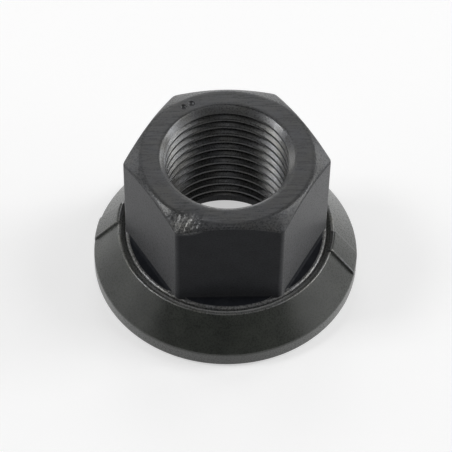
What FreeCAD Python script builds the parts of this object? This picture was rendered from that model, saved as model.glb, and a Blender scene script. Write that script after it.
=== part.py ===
import FreeCAD, Part
import math
import os
from FreeCAD import Placement, Rotation, Vector

# Wheel nut in two pieces: a hexagon nut whose tail is flared under a loose pressure plate.
# Millimetres, +Z up. The origin is on the axis, in the plane of the plate's bearing face.

# Thread: M18 x 1.5. The bore is modelled at the minor diameter, with no helix.
thread_major_diameter = 18.0
thread_pitch = 1.5

# Hexagon
across_flats = 24.0
corner_radius = 0.8
nut_top_z = 22.2
top_face_radius = 11.5
top_chamfer_angle = 30.0
countersink_margin = 0.05
countersink_angle = 45.0

# Collar and seat
collar_radius = 13.8
collar_top_z = 6.9
collar_edge_chamfer = 0.1
seat_angle = 45.0
seat_clearance = 0.1

# Tail, flared outwards below the plate's web
tail_wall = 1.6
tail_end_z = 1.0
tail_counterbore_margin = 0.1
tail_counterbore_depth = 1.7
flare_reach = 1.2
flare_lip_height = 0.6
flare_mouth_wall = 2.0

# Pressure plate
plate_radius = 18.2
rim_height = 2.4
rim_bottom_chamfer = 0.4
plate_top_z = 7.0
plate_land_inner_radius = 14.4
plate_land_width = 0.35
plate_bore_clearance = 0.3
plate_web_bottom_z = 2.6
flare_clearance = 0.7

# Two ribs on the plate's flank, turned a little from the hexagon's corners
rib_width = 3.5
rib_height = 0.65
rib_turn = -10.8

# Sizes that follow from the ones above
thread_minor_radius = thread_major_diameter / 2 - 0.5413 * thread_pitch
countersink_radius = thread_major_diameter / 2 + countersink_margin
counterbore_radius = thread_major_diameter / 2 + tail_counterbore_margin
tail_radius = counterbore_radius + tail_wall
plate_bore_radius = tail_radius + plate_bore_clearance
flare_radius = tail_radius + flare_reach
recess_radius = flare_radius + flare_clearance
seat_slope = math.tan(math.radians(seat_angle))
axis_start = Vector(0, 0, 0)
axis_end = Vector(0, 0, 1)


def turned(profile):
    """A solid of revolution about the Z axis from (radius, height) points."""
    points = [Vector(radius, 0, height) for radius, height in profile]
    face = Part.Face(Part.makePolygon(points + points[:1]))
    return face.revolve(axis_start, axis_end, 360)


def seat_z(radius):
    """Height of the plate's conical seat at a radius."""
    return plate_top_z - (plate_land_inner_radius - radius) * seat_slope


# The nut's cone stands off the plate's seat by the seat clearance, measured square to the cone
seat_offset_z = seat_clearance / math.cos(math.radians(seat_angle))
cone_top_z = seat_z(collar_radius) + seat_offset_z
cone_bottom_z = seat_z(tail_radius) + seat_offset_z

# Nut body: hexagonal prism, its corners rounded and its top chamfered by a cone. It stands on the
# collar and is rooted half way down it.
hexagon_bottom_z = (collar_top_z + cone_top_z) / 2
hexagon_height = nut_top_z - hexagon_bottom_z
sharp_corner_radius = across_flats / 2 / math.cos(math.radians(30))
corners = [
    Vector(
        sharp_corner_radius * math.cos(math.radians(60 * step)),
        sharp_corner_radius * math.sin(math.radians(60 * step)),
        hexagon_bottom_z,
    )
    for step in range(6)
]
prism = Part.Face(Part.makePolygon(corners + corners[:1])).extrude(Vector(0, 0, hexagon_height))
upright_edges = [
    edge
    for edge in prism.Edges
    if abs(edge.Vertexes[0].Z - edge.Vertexes[1].Z) > hexagon_height / 2
]
prism = prism.makeFillet(corner_radius, upright_edges)

envelope_radius = sharp_corner_radius + 1.0
chamfer_drop = (envelope_radius - top_face_radius) * math.tan(math.radians(top_chamfer_angle))
chamfer_envelope = turned([
    (0, hexagon_bottom_z - 1.0),
    (envelope_radius, hexagon_bottom_z - 1.0),
    (envelope_radius, nut_top_z - chamfer_drop),
    (top_face_radius, nut_top_z),
    (0, nut_top_z),
])
hexagon = prism.common(chamfer_envelope)

# Collar, seat cone and flared tail, turned as one profile
flare_top_z = tail_end_z + flare_lip_height
foot = turned([
    (0, collar_top_z),
    (collar_radius - collar_edge_chamfer, collar_top_z),
    (collar_radius, collar_top_z - collar_edge_chamfer),
    (collar_radius, cone_top_z),
    (tail_radius, cone_bottom_z),
    (tail_radius, flare_top_z + flare_reach / 2),
    (flare_radius, flare_top_z),
    (flare_radius, tail_end_z + flare_lip_height / 3),
    (flare_radius - flare_lip_height / 3, tail_end_z),
    (0, tail_end_z),
])

# Bore: countersink at the top, minor diameter, counterbore and flared mouth in the tail
countersink_depth = (countersink_radius - thread_minor_radius) * math.tan(math.radians(countersink_angle))
counterbore_bottom_z = flare_top_z
counterbore_top_z = counterbore_bottom_z + tail_counterbore_depth
thread_start_z = counterbore_top_z + (counterbore_radius - thread_minor_radius) * math.tan(math.radians(30))
thread_end_z = nut_top_z - countersink_depth
mouth_radius = flare_radius - flare_mouth_wall
bore = turned([
    (0, tail_end_z),
    (mouth_radius, tail_end_z),
    (counterbore_radius, counterbore_bottom_z),
    (counterbore_radius, counterbore_top_z),
    (thread_minor_radius, thread_start_z),
    (thread_minor_radius, thread_end_z),
    (countersink_radius, nut_top_z),
    (0, nut_top_z),
])
nut_body = hexagon.fuse(foot).cut(bore).removeSplitter()


# Pressure plate: rim, conical flank, top land, conical seat, bore and underside recess
flank_top_radius = plate_land_inner_radius + plate_land_width
flank_slope = (plate_top_z - rim_height) / (plate_radius - flank_top_radius)


def plate_profile(raised):
    """Half section of the plate with its flank raised by an amount, as it is at a rib."""
    lift = raised / (flank_slope + seat_slope)
    return [
        (plate_radius - rim_bottom_chamfer, 0),
        (plate_radius, rim_bottom_chamfer),
        (plate_radius, rim_height + raised),
        (flank_top_radius + lift, plate_top_z + lift * seat_slope),
        (plate_land_inner_radius + lift, plate_top_z + lift * seat_slope),
        (plate_bore_radius, seat_z(plate_bore_radius)),
        (plate_bore_radius, plate_web_bottom_z),
        (recess_radius, plate_web_bottom_z),
        (recess_radius, 0),
    ]


rib_slab = Part.makeBox(
    3 * plate_radius,
    rib_width,
    2 * plate_top_z,
    Vector(-1.5 * plate_radius, -rib_width / 2, 0),
)
ribs = turned(plate_profile(rib_height)).common(rib_slab)
pressure_plate = turned(plate_profile(0)).fuse(ribs).removeSplitter()
pressure_plate.Placement = Placement(Vector(0, 0, 0), Rotation(Vector(0, 0, 1), rib_turn))

os.makedirs("parts", exist_ok=True)
for name, shape in (("nut_body", nut_body), ("pressure_plate", pressure_plate)):
    solid = shape.Solids[0]
    solid.exportStep("parts/" + name + ".step")
    print(name, len(shape.Solids), solid.isValid(), round(solid.Volume, 1), len(solid.Faces), "faces")
print("thread from", round(thread_start_z, 3), "to", round(thread_end_z, 3), "at radius",
      round(thread_minor_radius, 3))
print("gap at the seat, square to it:", round(nut_body.distToShape(pressure_plate)[0], 3))
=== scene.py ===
import math

import bpy
from mathutils import Matrix, Vector


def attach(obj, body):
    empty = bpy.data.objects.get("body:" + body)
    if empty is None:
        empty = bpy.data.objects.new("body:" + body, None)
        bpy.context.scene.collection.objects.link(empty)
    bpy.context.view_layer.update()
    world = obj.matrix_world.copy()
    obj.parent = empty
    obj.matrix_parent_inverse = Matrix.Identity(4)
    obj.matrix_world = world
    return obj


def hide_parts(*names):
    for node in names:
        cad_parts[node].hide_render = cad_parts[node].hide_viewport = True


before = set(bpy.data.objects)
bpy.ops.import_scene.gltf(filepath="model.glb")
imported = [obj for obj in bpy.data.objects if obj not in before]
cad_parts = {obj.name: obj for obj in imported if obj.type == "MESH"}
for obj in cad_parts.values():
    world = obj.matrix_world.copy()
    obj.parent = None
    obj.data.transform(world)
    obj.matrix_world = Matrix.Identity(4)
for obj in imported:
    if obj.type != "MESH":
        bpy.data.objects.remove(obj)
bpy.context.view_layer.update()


# Pressure plate. A loose ring of forged steel, turned all over and phosphated, with a conical flank,
# a thin bright lip round its conical seat and two raised ribs. The nut's tail goes through it, and
# the tail's flared end holds it. Every size is in millimetres until a piece is finished.
millimetre = 0.001
plate_radius = 18.2
rim_height = 2.4
rim_bottom_chamfer = 0.4
plate_top_z = 7.0
plate_land_inner_radius = 14.4
plate_land_width = 0.35
plate_bore_radius = 11.0
plate_web_bottom_z = 2.6
recess_radius = 12.6
rib_width = 3.5
rib_height = 0.65
rib_turn = math.radians(-10.8)
edge_break = 0.12
soft_corner = 0.15
rim_round = 0.22
lip_outer_round = 0.11
lip_inner_round = 0.23
turning_steps = 192
corner_steps = 4
weld_distance = 0.001

seat_slope = math.tan(math.radians(45))
flank_top_radius = plate_land_inner_radius + plate_land_width
flank_slope = (plate_top_z - rim_height) / (plate_radius - flank_top_radius)


def near(a, b):
    """True where two (radius, height) points are the same one."""
    return abs(a[0] - b[0]) < 2 * weld_distance and abs(a[1] - b[1]) < 2 * weld_distance


def drawn(name, outline, rounded=(), closed=False):
    """Draws a section through (radius, height) points. rounded lists (point, setback) of its soft
    corners."""
    bpy.ops.object.select_all(action="DESELECT")
    bpy.ops.mesh.primitive_plane_add(size=1, location=(0, 0, 0))
    piece = bpy.context.object
    piece.name = piece.data.name = name
    bpy.ops.object.mode_set(mode="EDIT")
    bpy.ops.mesh.select_mode(type="VERT")
    bpy.ops.mesh.select_all(action="SELECT")
    bpy.ops.mesh.merge(type="CENTER")
    bpy.ops.transform.translate(value=(outline[0][0], 0, outline[0][1]))
    path = list(outline) + list(outline[:1] if closed else [])
    for here, there in zip(path, path[1:]):
        bpy.ops.mesh.extrude_region_move(
            TRANSFORM_OT_translate={"value": (there[0] - here[0], 0, there[1] - here[1])}
        )
    bpy.ops.mesh.select_all(action="SELECT")
    bpy.ops.mesh.remove_doubles(threshold=weld_distance)
    for point, setback in rounded:
        bpy.ops.mesh.select_all(action="DESELECT")
        bpy.ops.object.mode_set(mode="OBJECT")
        for vertex in piece.data.vertices:
            vertex.select = near((vertex.co.x, vertex.co.z), point)
        bpy.ops.object.mode_set(mode="EDIT")
        bpy.ops.mesh.bevel(offset=setback, segments=corner_steps, profile=0.5, affect="VERTICES")
    bpy.ops.mesh.select_all(action="SELECT")
    return piece


def turned(name, outline, rounded=(), closed=False):
    """Turns a section round the Z axis into a solid."""
    piece = drawn(name, outline, rounded, closed)
    bpy.ops.mesh.spin(steps=turning_steps, angle=2 * math.pi, center=(0, 0, 0), axis=(0, 0, 1))
    bpy.ops.mesh.select_all(action="SELECT")
    bpy.ops.mesh.remove_doubles(threshold=weld_distance)
    bpy.ops.mesh.normals_make_consistent(inside=False)
    bpy.ops.object.mode_set(mode="OBJECT")
    return piece


def combine(piece, other, operation):
    """Joins a second solid to a piece, cuts it out of it or keeps what both hold, and takes the second
    one away."""
    bpy.ops.object.select_all(action="DESELECT")
    bpy.context.view_layer.objects.active = piece
    piece.select_set(True)
    bpy.ops.object.modifier_add(type="BOOLEAN")
    modifier = piece.modifiers[-1]
    modifier.operation = operation
    modifier.solver = "MANIFOLD"
    modifier.object = other
    bpy.ops.object.modifier_apply(modifier=modifier.name)
    bpy.data.objects.remove(other)
    bpy.ops.object.mode_set(mode="EDIT")
    bpy.ops.mesh.select_all(action="SELECT")
    bpy.ops.mesh.remove_doubles(threshold=2 * weld_distance)
    bpy.ops.object.mode_set(mode="OBJECT")


def break_edges(piece, width, angle, segments=2):
    """Takes the sharpness off every edge that turns by more than an angle, in degrees."""
    bpy.context.view_layer.objects.active = piece
    bpy.ops.object.modifier_add(type="BEVEL")
    modifier = piece.modifiers[-1]
    modifier.width = width
    modifier.segments = segments
    modifier.limit_method = "ANGLE"
    modifier.angle_limit = math.radians(angle)
    modifier.use_clamp_overlap = False
    bpy.ops.object.modifier_apply(modifier=modifier.name)


def finish_piece(piece, body, node):
    """Brings a piece from millimetres to metres, shades it smooth except where it turns by more than
    32 degrees, ties it to its CAD body and hides the CAD node that it stands in for."""
    bpy.ops.object.select_all(action="DESELECT")
    bpy.context.view_layer.objects.active = piece
    piece.select_set(True)
    piece.scale = (millimetre, millimetre, millimetre)
    bpy.ops.object.transform_apply(location=True, rotation=True, scale=True)
    bpy.ops.object.shade_smooth_by_angle(angle=math.radians(32))
    bpy.ops.object.modifier_add(type="WEIGHTED_NORMAL")
    modifier = piece.modifiers[-1]
    modifier.keep_sharp = True
    bpy.ops.object.modifier_apply(modifier=modifier.name)
    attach(piece, body)
    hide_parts(node)


flat_ring = [
    (plate_radius - rim_bottom_chamfer, 0),
    (plate_radius, rim_bottom_chamfer),
    (plate_radius, rim_height),
    (flank_top_radius, plate_top_z),
    (plate_land_inner_radius, plate_top_z),
    (plate_bore_radius, plate_top_z - (plate_land_inner_radius - plate_bore_radius) * seat_slope),
    (plate_bore_radius, plate_web_bottom_z),
    (recess_radius, plate_web_bottom_z),
    (recess_radius, 0),
]
plate = turned(
    "pressure_plate_dressed",
    flat_ring,
    rounded=[
        (flat_ring[0], edge_break),
        (flat_ring[1], edge_break),
        (flat_ring[2], rim_round),
        (flat_ring[3], lip_outer_round),
        (flat_ring[4], lip_inner_round),
        (flat_ring[5], soft_corner),
        (flat_ring[6], soft_corner),
        (flat_ring[8], soft_corner),
    ],
    closed=True,
)
# A rib is a slice of the same section with its flank raised. It is rooted inside the plate, a hair
# within the rim and the seat, so that no two faces lie in one place. Its edges turn by more than 50
# degrees where the slab cuts it, and only those are broken.
hair = 0.004
rib_root = 0.6
rib_seat_depth = 0.4
rib_depth = 2.0
rib_edge_angle = 50
slab_height = 13.1
lift = rib_height / (flank_slope + seat_slope)
rib_top_z = plate_top_z + lift * seat_slope
rib_corner = (plate_radius - hair, rim_height + rib_height)
rib_crest = (flank_top_radius + lift, rib_top_z)
ribs = turned(
    "ribs",
    [
        (plate_radius - hair, rim_height - rib_root),
        rib_corner,
        rib_crest,
        (plate_land_inner_radius + lift + hair, rib_top_z),
        (plate_land_inner_radius - rib_seat_depth + hair, plate_top_z - rib_seat_depth * seat_slope),
        (plate_land_inner_radius + rib_root, plate_top_z - rib_depth),
    ],
    rounded=[(rib_corner, rim_round), (rib_crest, soft_corner)],
    closed=True,
)
bpy.ops.object.select_all(action="DESELECT")
bpy.ops.mesh.primitive_cube_add(size=1, location=(0, 0, plate_top_z))
slab = bpy.context.object
bpy.ops.transform.resize(value=(3 * plate_radius, rib_width, slab_height))
bpy.ops.object.transform_apply(location=True, rotation=False, scale=True)
combine(ribs, slab, "INTERSECT")
break_edges(ribs, edge_break / 2, rib_edge_angle)
combine(plate, ribs, "UNION")
plate.rotation_euler.z = rib_turn
finish_piece(plate, "plate", "pressure_plate")


def linear(code):
    """An sRGB hex colour as the linear values that a shader takes."""
    parts = [int(code[i:i + 2], 16) / 255 for i in (0, 2, 4)]
    return tuple(p / 12.92 if p <= 0.04045 else ((p + 0.055) / 1.055) ** 2.4 for p in parts) + (1.0,)


def add(tree, kind, links=None, **settings):
    """Adds a shader node with its settings. links gives its sockets a value, or another node's output."""
    node = tree.nodes.new("ShaderNode" + kind)
    for name, value in settings.items():
        setattr(node, name, value)
    for name, value in (links or {}).items():
        if isinstance(value, bpy.types.NodeSocket):
            tree.links.new(value, node.inputs[name])
        else:
            node.inputs[name].default_value = value
    return node


def phosphated_steel(
    name, dark, pale, specular, lip_radius, cut_z=1.0, cut_radius=0.0001,
    scuff_place=(0, 0, 0), scuff_shape=(1, 1, 1), scuff_radius=0.0001,
):
    """Manganese-phosphated steel: crystals a few hundredths of a millimetre across, soaked with oil,
    give a nearly black satin skin that catches grazing light like a nap and has a faint cloudy
    mottling. It is rubbed through to bare steel along the edges, on a proud lip and where something
    has struck it. It is thinner where a tool has cut the steel: on what looks up above cut_z, where a
    level face has marks of facing, and in a bore inside cut_radius. All lengths are in metres."""
    cloud_size, crystal_size = 3.0 * millimetre, 0.25 * millimetre
    streak_length, streak_width = 3.0 * millimetre, 0.3 * millimetre
    wear_depth, lip_half_width = 0.4 * millimetre, 0.25 * millimetre
    relief_depth = 0.05 * millimetre
    material = bpy.data.materials.new(name)
    material.use_nodes = True
    tree = material.node_tree
    tree.nodes.clear()
    place = add(tree, "TexCoord").outputs["Object"]
    shape = add(tree, "NewGeometry")

    # Three patterns: clouds, crystals drawn ten times their real size so that they show, and the
    # streaks that a facing tool leaves
    noise = {"Roughness": 0.6}
    clouds = add(tree, "TexNoise", {"Vector": place, "Scale": 1 / cloud_size, "Detail": 4.0, **noise})
    crystals = add(tree, "TexNoise", {"Vector": place, "Scale": 1 / crystal_size, "Detail": 2.0, **noise})
    stretch = (1 / streak_length, 1 / streak_width, 1 / streak_length)
    along = add(tree, "Mapping", {"Vector": place, "Scale": stretch})
    marks = add(tree, "TexNoise", {
        "Vector": along.outputs["Vector"], "Scale": 1.0, "Detail": 3.0, **noise
    })
    contrast = {"From Min": 0.35, "From Max": 0.65}
    cloudy = add(tree, "MapRange", {"Value": clouds.outputs["Fac"], **contrast})
    grainy = add(tree, "MapRange", {"Value": crystals.outputs["Fac"], **contrast})
    streaky = add(tree, "MapRange", {"Value": marks.outputs["Fac"], **contrast})
    upward = add(tree, "SeparateXYZ", {"Vector": shape.outputs["Normal"]})
    height = add(tree, "SeparateXYZ", {"Vector": place})
    above = add(tree, "Math", {0: height.outputs["Z"], 1: cut_z}, operation="GREATER_THAN")
    level = add(tree, "MapRange", {
        "Value": upward.outputs["Z"], "From Min": 0.97, "From Max": 0.99, "To Max": 0.7
    })
    faced = add(tree, "Math", {
        0: level.outputs["Result"], 1: above.outputs["Value"]
    }, operation="MULTIPLY")
    relief = add(tree, "Mix", {
        "Factor": faced.outputs["Value"], "A": grainy.outputs["Result"], "B": streaky.outputs["Result"]
    }, data_type="FLOAT")

    # Where an edge stands out, a short way into the steel soon comes out again, and there the skin is
    # worn. In the bore that wear falls to 0.3 of its strength, and the crests stay as dull as their flanks.
    inward = add(tree, "AmbientOcclusion", {"Distance": wear_depth}, samples=8, inside=True, only_local=True)
    reached = add(tree, "MapRange", {"Value": inward.outputs["AO"], "From Min": 0.88, "From Max": 0.6})
    flat_place = add(tree, "VectorMath", {0: place, 1: (1, 1, 0)}, operation="MULTIPLY")
    reach = add(tree, "VectorMath", {0: flat_place.outputs["Vector"]}, operation="LENGTH")
    touched = add(tree, "MapRange", {
        "Value": reach.outputs["Value"], "From Min": 0.98 * cut_radius, "From Max": cut_radius, "To Min": 0.3
    })
    chafed = add(tree, "Math", {
        0: reached.outputs["Result"], 1: touched.outputs["Result"]
    }, operation="MULTIPLY")

    # Where something has struck it
    offset = add(tree, "VectorMath", {0: place, 1: scuff_place}, operation="SUBTRACT")
    shaped = add(tree, "VectorMath", {
        0: offset.outputs["Vector"], 1: scuff_shape
    }, operation="MULTIPLY")
    away = add(tree, "VectorMath", {0: shaped.outputs["Vector"]}, operation="LENGTH")
    struck = add(tree, "MapRange", {
        "Value": away.outputs["Value"],
        "From Min": scuff_radius, "From Max": 0.2 * scuff_radius, "To Max": 0.8,
    })

    # A proud lip: a ring below cut_z that looks at least a little upwards
    on_lip = add(tree, "Math", {
        0: reach.outputs["Value"], 1: lip_radius, 2: lip_half_width
    }, operation="COMPARE")
    low = add(tree, "Math", {0: height.outputs["Z"], 1: cut_z}, operation="LESS_THAN")
    proud = add(tree, "MapRange", {
        "Value": upward.outputs["Z"], "From Min": 0.1, "From Max": 0.3, "To Max": 0.7
    })
    facing = add(tree, "Math", {
        0: low.outputs["Value"], 1: proud.outputs["Result"]
    }, operation="MULTIPLY")
    lip = add(tree, "Math", {
        0: on_lip.outputs["Value"], 1: facing.outputs["Value"]
    }, operation="MULTIPLY")
    outer = add(tree, "Math", {
        0: chafed.outputs["Value"], 1: struck.outputs["Result"]
    }, operation="MAXIMUM")
    bare = add(tree, "Math", {0: outer.outputs["Value"], 1: lip.outputs["Value"]}, operation="MAXIMUM")
    broken = add(tree, "MapRange", {"Value": grainy.outputs["Result"], "To Min": 0.3, "To Max": 1.0})
    rubbed = add(tree, "Math", {
        0: bare.outputs["Value"], 1: broken.outputs["Result"]
    }, operation="MULTIPLY")

    # Where a tool has cut the steel, the skin is thinner
    cut = add(tree, "MapRange", {
        "Value": reach.outputs["Value"], "From Min": cut_radius, "From Max": 0.98 * cut_radius, "To Max": 0.36
    })
    tops = add(tree, "MapRange", {
        "Value": upward.outputs["Z"], "From Min": 0.15, "From Max": 0.5, "To Max": 0.21
    })
    uneven = add(tree, "MapRange", {"Value": relief.outputs["Result"], "To Min": 0.7, "To Max": 1.3})
    patchy = add(tree, "Math", {
        0: tops.outputs["Result"], 1: uneven.outputs["Result"]
    }, operation="MULTIPLY")
    turned_tops = add(tree, "Math", {
        0: patchy.outputs["Value"], 1: above.outputs["Value"]
    }, operation="MULTIPLY")
    cut_steel = add(tree, "Math", {
        0: turned_tops.outputs["Value"], 1: cut.outputs["Result"]
    }, operation="MAXIMUM")
    thin = add(tree, "Math", {
        0: rubbed.outputs["Value"], 1: cut_steel.outputs["Value"]
    }, operation="MAXIMUM")
    metal = add(tree, "Math", {0: thin.outputs["Value"], 1: 0.5}, operation="POWER")

    # Bare steel is a neutral grey, a little warmer where oil has dried on it
    skin = add(tree, "Mix", {
        "Factor": cloudy.outputs["Result"], "A": linear(dark), "B": linear(pale)
    }, data_type="RGBA")
    worn = add(tree, "Mix", {
        "Factor": cloudy.outputs["Result"], "A": linear("A2A3A5"), "B": linear("9E9D98")
    }, data_type="RGBA")
    colour = add(tree, "Mix", {
        "Factor": thin.outputs["Value"], "A": skin.outputs["Result"], "B": worn.outputs["Result"]
    }, data_type="RGBA")
    gloss = add(tree, "MapRange", {"Value": relief.outputs["Result"], "To Min": 0.24, "To Max": 0.34})
    rough = add(tree, "Math", {
        0: rubbed.outputs["Value"], 1: 0.1, 2: gloss.outputs["Result"]
    }, operation="MULTIPLY_ADD")
    bump = add(tree, "Bump", {
        "Height": relief.outputs["Result"], "Strength": 0.12, "Distance": relief_depth
    })
    shader = add(tree, "BsdfPrincipled", {
        "Base Color": colour.outputs["Result"],
        "Metallic": metal.outputs["Value"],
        "Roughness": rough.outputs["Value"],
        "Specular IOR Level": specular,
        "Sheen Weight": 0.5,
        "Sheen Roughness": 0.4,
        "Normal": bump.outputs["Normal"],
    })
    add(tree, "OutputMaterial", {"Surface": shader.outputs["BSDF"]})
    return material


plate_lip_middle = plate_land_inner_radius + 0.15
plate.data.materials.clear()
plate.data.materials.append(phosphated_steel(
    "phosphated_turned_steel", "282B27", "363934", 0.6, plate_lip_middle * millimetre
))


# Nut body. One forged, turned and tapped part of phosphated steel: a 24 mm hexagon with its top faced
# flat and chamfered, a collar with a round shoulder, a cone that sits in the plate's seat, and a thin
# tail that goes through the plate and is flared under it.
across_flats = 24.0
corner_radius = 0.8
nut_top_z = 22.2
top_face_radius = 11.5
top_chamfer_angle = math.radians(30)
collar_radius = 13.8
collar_top_z = 6.9
seat_clearance = 0.1
tail_radius = 10.7
tail_end_z = 1.0
flare_radius = 11.9
flare_lip_height = 0.6
counterbore_radius = 9.1
counterbore_depth = 1.7
mouth_radius = 9.9
flare_round = 0.2
thread_pitch = 1.5
thread_major_radius = 9.0
thread_minor_radius = thread_major_radius - 0.5413 * thread_pitch
pilot_allowance = 0.3
countersink_radius = 9.15
countersink_round = 0.2
shoulder_setback = 0.45
edge_round = 0.25
chamfer_edge_angle = 26
foot_fillet = 0.5
foot_hollow = 0.08
foot_margin = 0.03
round_steps = 3

cone_rise = plate_top_z - plate_land_inner_radius * seat_slope + seat_clearance * math.sqrt(2)
cone_top_z = cone_rise + collar_radius * seat_slope
cone_bottom_z = cone_rise + tail_radius * seat_slope
flare_top_z = tail_end_z + flare_lip_height
sharp_corner_radius = across_flats / 2 / math.cos(math.radians(30))
hexagon_bottom_z = (collar_top_z + cone_top_z) / 2


def pick_edges(piece, wanted):
    """Opens a piece in edit mode with only those edges picked whose two ends pass a test."""
    bpy.ops.object.select_all(action="DESELECT")
    bpy.context.view_layer.objects.active = piece
    piece.select_set(True)
    bpy.ops.object.mode_set(mode="EDIT")
    bpy.ops.mesh.select_mode(type="EDGE")
    bpy.ops.mesh.select_all(action="DESELECT")
    bpy.ops.object.mode_set(mode="OBJECT")
    for edge in piece.data.edges:
        edge.select = wanted(*(piece.data.vertices[i].co for i in edge.vertices))
    bpy.ops.object.mode_set(mode="EDIT")


def hexagonal_bar(name, flats, corner, low_z, high_z):
    """A length of hexagonal bar with two flats facing front and back, and rounded upright corners."""
    bpy.ops.object.select_all(action="DESELECT")
    bpy.ops.mesh.primitive_cylinder_add(
        vertices=6,
        radius=flats / 2 / math.cos(math.radians(30)),
        depth=high_z - low_z,
        location=(0, 0, (high_z + low_z) / 2),
        rotation=(0, 0, math.radians(30)),
    )
    bar = bpy.context.object
    bar.name = bar.data.name = name
    bpy.ops.object.transform_apply(location=True, rotation=True, scale=True)
    pick_edges(bar, lambda a, b: abs(a.z - b.z) > 0.5)
    bpy.ops.mesh.bevel(
        offset=corner * math.tan(math.radians(30)), segments=6, profile=0.5, affect="EDGES"
    )
    bpy.ops.object.mode_set(mode="OBJECT")
    return bar


# The cone that chamfers the top has a few rings in its flat end, so that the top face is made of strips
top_rings = (top_face_radius, 11.1, 9.4, 7.5, 0)
cone_reach = sharp_corner_radius + 1
cone_side_z = nut_top_z - (cone_reach - top_face_radius) * math.tan(top_chamfer_angle)
nut = hexagonal_bar("nut_body_dressed", across_flats, corner_radius, hexagon_bottom_z, nut_top_z + 1)
top_cone = turned(
    "top_cone",
    [(0, 0), (cone_reach, 0), (cone_reach, cone_side_z)] + [(radius, nut_top_z) for radius in top_rings],
)
combine(nut, top_cone, "INTERSECT")
break_edges(nut, edge_round, chamfer_edge_angle, segments=round_steps)

shoulder = (collar_radius, collar_top_z)
foot = turned(
    "foot",
    [
        (0, collar_top_z),
        (top_face_radius, collar_top_z),
        shoulder,
        (collar_radius, cone_top_z),
        (tail_radius, cone_bottom_z),
        (tail_radius, flare_top_z + (flare_radius - tail_radius) / 2),
        (flare_radius, flare_top_z),
        (flare_radius, tail_end_z),
        (0, tail_end_z),
    ],
    rounded=[
        (shoulder, shoulder_setback),
        ((flare_radius, flare_top_z), soft_corner),
        ((flare_radius, tail_end_z), flare_round),
    ],
)
combine(nut, foot, "UNION")

# The forging die leaves a hollow fillet where the flats run into the collar. It is a wider length of
# the same bar, hollowed along its top edge, and kept to the flat of the collar.
skirt = hexagonal_bar(
    "skirt", across_flats + 2 * (foot_fillet - hair), corner_radius + foot_fillet - hair,
    hexagon_bottom_z, collar_top_z + foot_fillet,
)
pick_edges(skirt, lambda a, b: min(a.z, b.z) > collar_top_z + foot_fillet - hair)
bpy.ops.mesh.bevel(offset=foot_fillet, segments=5, profile=foot_hollow, affect="EDGES")
bpy.ops.object.mode_set(mode="OBJECT")
flat_radius = collar_radius - shoulder_setback - foot_margin
collar_flat = turned(
    "collar_flat",
    [(0, hexagon_bottom_z), (flat_radius, hexagon_bottom_z), (flat_radius, nut_top_z), (0, nut_top_z)],
)
combine(skirt, collar_flat, "INTERSECT")
combine(nut, skirt, "UNION")

# The hole is drilled a little under the thread's size first, and the tap opens it. The countersink's
# radius is that of its rounded edge as it is seen.
pilot_radius = thread_minor_radius - pilot_allowance
countersink_corner = countersink_radius - countersink_round
bore = turned(
    "bore",
    [
        (0, tail_end_z - 1),
        (mouth_radius + 1, tail_end_z - 1),
        (mouth_radius, tail_end_z),
        (counterbore_radius, flare_top_z),
        (counterbore_radius, flare_top_z + counterbore_depth),
        (pilot_radius, flare_top_z + counterbore_depth + (counterbore_radius - pilot_radius) / math.sqrt(3)),
        (pilot_radius, nut_top_z - (countersink_corner - pilot_radius)),
        (countersink_corner + 1, nut_top_z + 1),
        (0, nut_top_z + 1),
    ],
)
combine(nut, bore, "DIFFERENCE")


def round_rings(piece, rings, setback):
    """Rounds the circular edges of a piece that go through any of some (radius, height) points."""
    pick_edges(
        piece, lambda a, b: any(all(near((c.xy.length, c.z), ring) for c in (a, b)) for ring in rings)
    )
    bpy.ops.mesh.bevel(offset=setback, segments=round_steps, profile=0.5, affect="EDGES")
    bpy.ops.object.mode_set(mode="OBJECT")


round_rings(nut, [(countersink_corner, nut_top_z)], countersink_round)
round_rings(nut, [
    (mouth_radius, tail_end_z),
    (counterbore_radius, flare_top_z),
    (counterbore_radius, flare_top_z + counterbore_depth),
], edge_break)

# Two plain punch dots on the top face
dot_reach, dot_turn, dot_spread = 10.3, math.radians(119.6), math.radians(3.4)
ball_radius, ball_lift = 0.6, 0.3
for turn in (dot_turn - dot_spread, dot_turn + dot_spread):
    bpy.ops.object.select_all(action="DESELECT")
    bpy.ops.mesh.primitive_uv_sphere_add(
        segments=32,
        ring_count=16,
        radius=ball_radius,
        location=(dot_reach * math.cos(turn), dot_reach * math.sin(turn), nut_top_z + ball_lift),
    )
    punch = bpy.context.object
    bpy.ops.object.transform_apply(location=True, rotation=False, scale=False)
    combine(nut, punch, "DIFFERENCE")

# The thread is a real right-hand helix of 60 degrees: its flat crest is a quarter of the pitch wide at
# the minor radius, and its root an eighth at the major radius, both with soft corners. A tap cuts it,
# which reaches from just above the flare to just above the top face.
thread_corner = 0.06
tap_low_z, tap_high_z = flare_top_z + 0.3, nut_top_z + 0.4
flank_height = thread_major_radius - thread_minor_radius
flank_run = flank_height * math.tan(math.radians(30))
half_crest = thread_pitch / 8
half_root = thread_pitch / 16
turn_steps = 120
first_z = flare_top_z - thread_pitch
one_turn = [
    (thread_minor_radius, first_z),
    (thread_minor_radius, first_z + half_crest),
    (thread_major_radius, first_z + half_crest + flank_run),
    (thread_major_radius, first_z + half_crest + flank_run + 2 * half_root),
    (thread_minor_radius, first_z + half_crest + 2 * flank_run + 2 * half_root),
    (thread_minor_radius, first_z + thread_pitch),
]
tap = drawn("tap", one_turn, rounded=[(corner, thread_corner) for corner in one_turn[1:-1]])
bpy.ops.object.mode_set(mode="OBJECT")
bpy.ops.object.modifier_add(type="SCREW")
screw = tap.modifiers[-1]
screw.axis = "Z"
screw.angle = 2 * math.pi
screw.screw_offset = thread_pitch
screw.iterations = math.ceil((nut_top_z - first_z) / thread_pitch) + 2
screw.steps = screw.render_steps = turn_steps
bpy.ops.object.modifier_apply(modifier=screw.name)
bpy.ops.object.mode_set(mode="EDIT")
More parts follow.
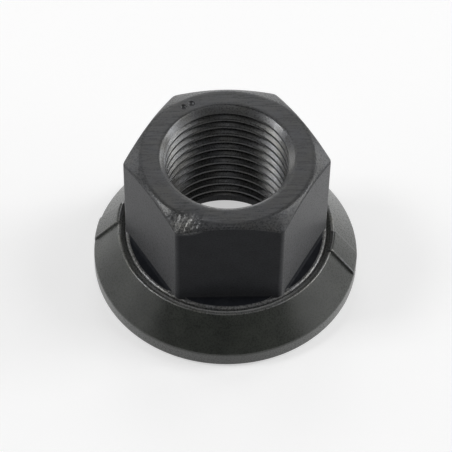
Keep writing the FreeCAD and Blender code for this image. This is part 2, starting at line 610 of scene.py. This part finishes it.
bpy.ops.mesh.select_all(action="SELECT")
bpy.ops.mesh.remove_doubles(threshold=weld_distance)
bpy.ops.mesh.bisect(plane_co=(0, 0, tap_low_z), plane_no=(0, 0, 1), use_fill=True, clear_inner=True)
bpy.ops.mesh.select_all(action="SELECT")
bpy.ops.mesh.bisect(plane_co=(0, 0, tap_high_z), plane_no=(0, 0, 1), use_fill=True, clear_outer=True)
bpy.ops.mesh.select_all(action="SELECT")
bpy.ops.mesh.normals_make_consistent(inside=False)
bpy.ops.object.mode_set(mode="OBJECT")
combine(nut, tap, "DIFFERENCE")

# The front left corner of the chamfer has been struck: its faces are cut small and dented inwards
dent_cuts, dent_size, dent_depth = 3, 0.4, 0.17
scuff_turn, scuff_reach, scuff_z, scuff_radius = math.radians(242), 12.3, 21.9, 2.3
scuff_shape = Vector((0.75, 1, 1.4))
scuff_place = Vector((scuff_reach * math.cos(scuff_turn), scuff_reach * math.sin(scuff_turn), scuff_z))
pick_edges(nut, lambda a, b: (((a + b) / 2 - scuff_place) * scuff_shape).length < scuff_radius)
bpy.ops.mesh.subdivide(number_cuts=dent_cuts)
bpy.ops.object.mode_set(mode="OBJECT")
dented = nut.vertex_groups.new(name="dented")
for vertex in nut.data.vertices:
    nearness = 1 - ((vertex.co - scuff_place) * scuff_shape).length / scuff_radius
    if nearness > 0:
        dented.add([vertex.index], min(1, 2 * nearness), "REPLACE")
lumps = bpy.data.textures.new("lumps", "CLOUDS")
lumps.noise_scale = dent_size
bpy.ops.object.modifier_add(type="DISPLACE")
dents = nut.modifiers[-1]
dents.texture = lumps
dents.texture_coords = "LOCAL"
dents.vertex_group = dented.name
dents.mid_level = 1.0
dents.strength = dent_depth
bpy.ops.object.modifier_apply(modifier=dents.name)
nut.vertex_groups.clear()
finish_piece(nut, "nut", "nut_body")
shoulder_middle = collar_radius - 0.25
lowest_cut_z = 15.0
nut.data.materials.clear()
nut.data.materials.append(phosphated_steel(
    "phosphated_forged_steel", "17191E", "212328", 0.04, shoulder_middle * millimetre,
    lowest_cut_z * millimetre, countersink_radius * millimetre,
    scuff_place * millimetre, scuff_shape, scuff_radius * millimetre,
))


# Studio. A plain pale floor, and soft square lamps all round: high and low ones behind the object and
# at its sides, two weak ones in front and one over it. The floor is grey paper that is lit through from
# below, so that it looks white and keeps only a soft shadow. Lengths are in metres from here on.
floor_glow = 0.52
world_glow = 0.06
lamp_distance = 2
bpy.ops.object.select_all(action="DESELECT")
bpy.ops.mesh.primitive_plane_add(size=6, location=(0, 0, 0))
floor = bpy.context.object
floor.name = "studio_floor"
paper = bpy.data.materials.new("backlit_white_paper")
paper.use_nodes = True
paper.node_tree.nodes.clear()
sheet = add(paper.node_tree, "BsdfPrincipled", {
    "Base Color": linear("C8C8C8"), "Roughness": 0.9, "Specular IOR Level": 0.1
})
ray = add(paper.node_tree, "LightPath")
seen = add(paper.node_tree, "Math", {
    0: ray.outputs["Is Camera Ray"], 1: ray.outputs["Is Glossy Ray"]
}, operation="MAXIMUM")
shown = add(paper.node_tree, "Math", {
    0: seen.outputs["Value"], 1: ray.outputs["Is Transmission Ray"]
}, operation="MAXIMUM")
share = add(paper.node_tree, "Math", {0: shown.outputs["Value"], 1: floor_glow}, operation="MULTIPLY")
backlight = add(paper.node_tree, "Emission", {"Color": linear("FFFFFF"), "Strength": share.outputs["Value"]})
both = add(paper.node_tree, "AddShader", {0: sheet.outputs["BSDF"], 1: backlight.outputs["Emission"]})
add(paper.node_tree, "OutputMaterial", {"Surface": both.outputs["Shader"]})
floor.data.materials.append(paper)

surround = bpy.data.worlds.new("surround")
bpy.context.scene.world = surround
surround.use_nodes = True
surround.node_tree.nodes.clear()
glow = add(surround.node_tree, "Background", {"Color": linear("FFFFFF"), "Strength": world_glow})
add(surround.node_tree, "OutputWorld", {"Surface": glow.outputs["Background"]})


def lamp(name, azimuth, elevation, size, radiance):
    """A square soft lamp, aimed at the object. Its power follows from its size and from how bright its
    face is."""
    turn, rise = math.radians(azimuth), math.radians(elevation)
    toward = Vector((math.cos(rise) * math.cos(turn), math.cos(rise) * math.sin(turn), math.sin(rise)))
    bpy.ops.object.light_add(type="AREA", location=toward * lamp_distance)
    light = bpy.context.object
    light.name = name
    light.rotation_euler = toward.to_track_quat("Z", "Y").to_euler()
    light.data.shape = "SQUARE"
    light.data.size = size
    light.data.energy = radiance * math.pi * size * size


lamp("lamp_back", 90, 42, 0.6, 1.9)
lamp("lamp_back_low", 90, 14, 0.8, 4.0)
lamp("lamp_back_right", 57, 40, 0.6, 0.9)
lamp("lamp_back_left", 123, 40, 0.6, 1.1)
lamp("lamp_right", 12, 32, 0.5, 9.0)
lamp("lamp_right_high", 4, 52, 0.5, 6.5)
lamp("lamp_right_low", 3, 18, 0.6, 2.5)
lamp("lamp_left", 178, 50, 0.5, 12.0)
lamp("lamp_left_low", 177, 18, 0.6, 2.5)
lamp("lamp_low_right", 39, 16, 0.8, 3.4)
lamp("lamp_low_left", 141, 16, 0.8, 2.4)
lamp("lamp_front_left", 195, 20, 1.2, 0.8)
lamp("lamp_front_right", 345, 20, 1.4, 1.1)
lamp("lamp_over", 274, 68, 0.5, 1.1)


# Camera. It looks down on the nut from in front, with the long lens of a product photograph.
camera_elevation = math.radians(51.75)
camera_azimuth = math.radians(-2.53)
camera_roll = math.radians(1.07)
camera_distance = 0.3003
look_at = Vector((0, 0, 0.0073))
bpy.ops.object.camera_add()
camera = bpy.context.object
turned_to = (
    Matrix.Rotation(camera_azimuth, 4, "Z")
    @ Matrix.Rotation(math.pi / 2 - camera_elevation, 4, "X")
    @ Matrix.Rotation(camera_roll, 4, "Z")
)
camera.matrix_world = Matrix.Translation(look_at + turned_to @ Vector((0, 0, camera_distance))) @ turned_to
camera.data.sensor_width = 36
camera.data.lens = 174.82
camera.data.clip_start = 0.01
bpy.context.scene.camera = camera
bpy.context.scene.view_settings.view_transform = "Standard"
